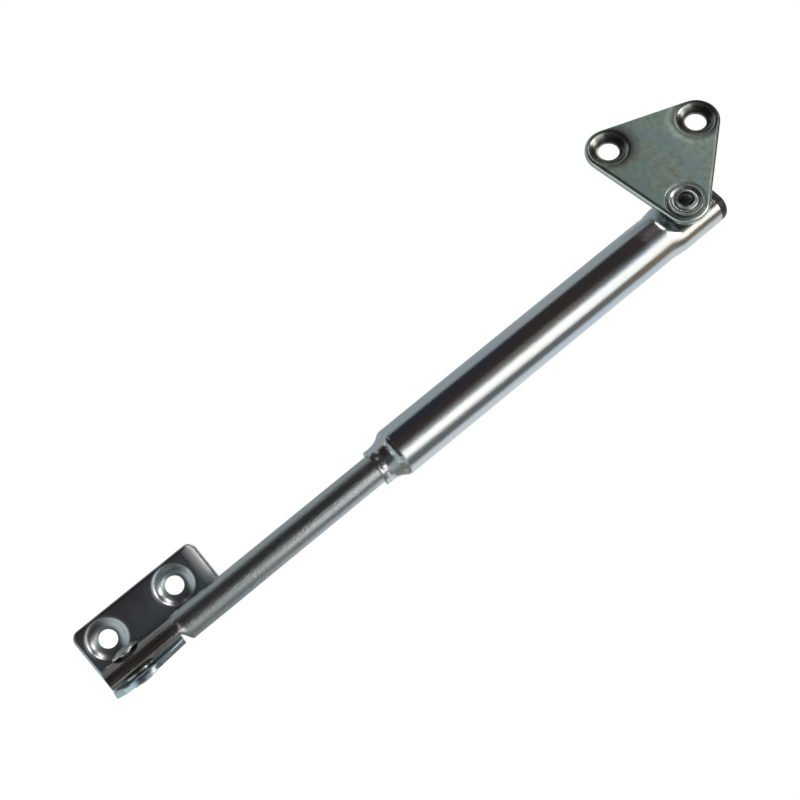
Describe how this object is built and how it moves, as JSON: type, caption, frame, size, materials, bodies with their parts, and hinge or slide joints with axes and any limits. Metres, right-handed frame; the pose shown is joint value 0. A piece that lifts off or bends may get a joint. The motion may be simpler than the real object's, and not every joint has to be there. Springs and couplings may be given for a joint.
{
  "type": "lid stay",
  "caption": "Telescopic lid stay of zinc-plated steel: sprung outer tube, sliding inner tube, riveted triangular plate at one end and riveted angle bracket at the other.",
  "frame": {"origin": "midway between the two screw holes of the triangular plate, on the plate's back face", "axes": "+Z along the tubes towards the plate's end, -Y out of the front of the triangular plate, +X from the screw holes towards the rivet"},
  "size_m": [0.0402, 0.0207, 0.2241],
  "materials": {
    "bright_zinc": "bright zinc plate on drawn tube",
    "drawn_zinc": "zinc plate over fine lengthwise drawing lines",
    "satin_zinc": "satin zinc plate on pressed sheet",
    "rivet_zinc": "bright zinc plate",
    "plain_steel": "plain turned steel",
    "spring_steel": "oiled spring wire",
    "black_plastic": "moulded, satin",
    "white_plastic": "moulded, satin",
    "black_rubber": "moulded"
  },
  "bodies": {
    "plate": {"mounting_plate": "satin_zinc"},
    "tube": {"outer_tube": "bright_zinc", "upper_rivet": "rivet_zinc", "upper_washer": "rivet_zinc", "end_plug": "black_plastic", "spring_seat": "plain_steel", "compression_spring": "spring_steel", "stop_ring": "black_rubber"},
    "piston": {"guide_piston": "white_plastic", "thrust_washer": "plain_steel"},
    "rod": {"inner_tube": "drawn_zinc", "lower_rivet": "rivet_zinc", "lower_washer": "rivet_zinc"},
    "bracket": {"angle_bracket": "satin_zinc"}
  },
  "joints": [
    {"name": "plate_pivot", "type": "hinge", "parent": "plate", "child": "tube", "pos_m": [0.0214, 0.00735, -0.00843], "axis": [0, 1, 0], "range_deg": [-198.5, 61.5]},
    {"name": "rod_slide", "type": "slide", "parent": "tube", "child": "piston", "axis": [0, 0, 1], "range_m": [0, 0.048], "stiffness_N_per_m": 1600, "springref_m": -0.0167, "deforming": ["compression_spring"]},
    {"name": "rod_swivel", "type": "hinge", "parent": "piston", "child": "rod", "pos_m": [0.0214, 0.00735, -0.09893], "axis": [0, 0, 1], "continuous": true},
    {"name": "bracket_pivot", "type": "hinge", "parent": "rod", "child": "bracket", "pos_m": [0.0214, 0.00735, -0.19593], "axis": [0.9272, 0.3746, 0], "range_deg": [-190, 5]}
  ]
}
